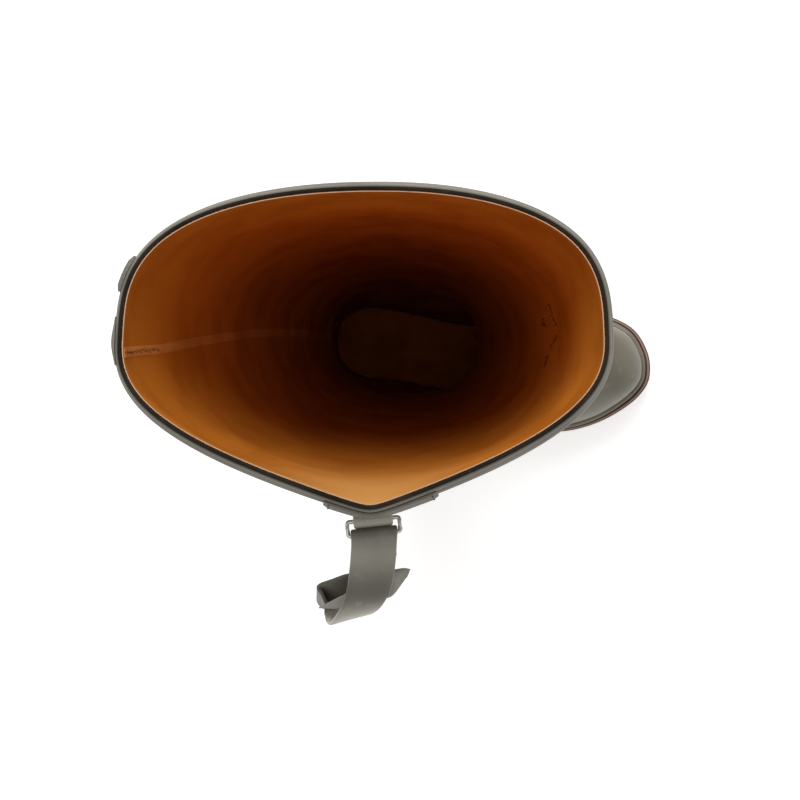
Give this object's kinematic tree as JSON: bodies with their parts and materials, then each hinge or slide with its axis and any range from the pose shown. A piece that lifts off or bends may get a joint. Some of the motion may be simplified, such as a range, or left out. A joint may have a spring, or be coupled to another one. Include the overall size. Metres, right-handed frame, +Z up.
{
  "type": "hip wader",
  "caption": "Right hip wader: rubber foot and tall flared shaft in one, open collar with a reinforced band, lugged sole and a hanger strap on a metal ring.",
  "frame": {"origin": "on the floor, under the middle of the whole object's box", "axes": "+Z up, the toe points to -Y, the big-toe side to +X and the strap side to -X"},
  "size_m": [0.2444, 0.3668, 0.7999],
  "materials": {
    "shaft_rubber": "matt olive rubber, orange-brown cloth lining inside",
    "foxing_rubber": "satin olive rubber",
    "insole_cloth": "flat woven cloth",
    "sole_rubber": "matt brown rubber",
    "band_rubber": "satin grey-olive rubber",
    "strap_rubber": "satin grey-olive rubber",
    "ring_metal": "plated wire"
  },
  "bodies": {
    "root": {"upper": "shaft_rubber", "foxing": "foxing_rubber", "insole": "insole_cloth", "outsole": "sole_rubber", "top_band": "band_rubber", "back_stay": "band_rubber", "strap_patch": "band_rubber", "rim_tab": "band_rubber", "strap_ring": "ring_metal", "chape": "strap_rubber", "hanger_strap": "strap_rubber"}
  },
  "joints": []
}
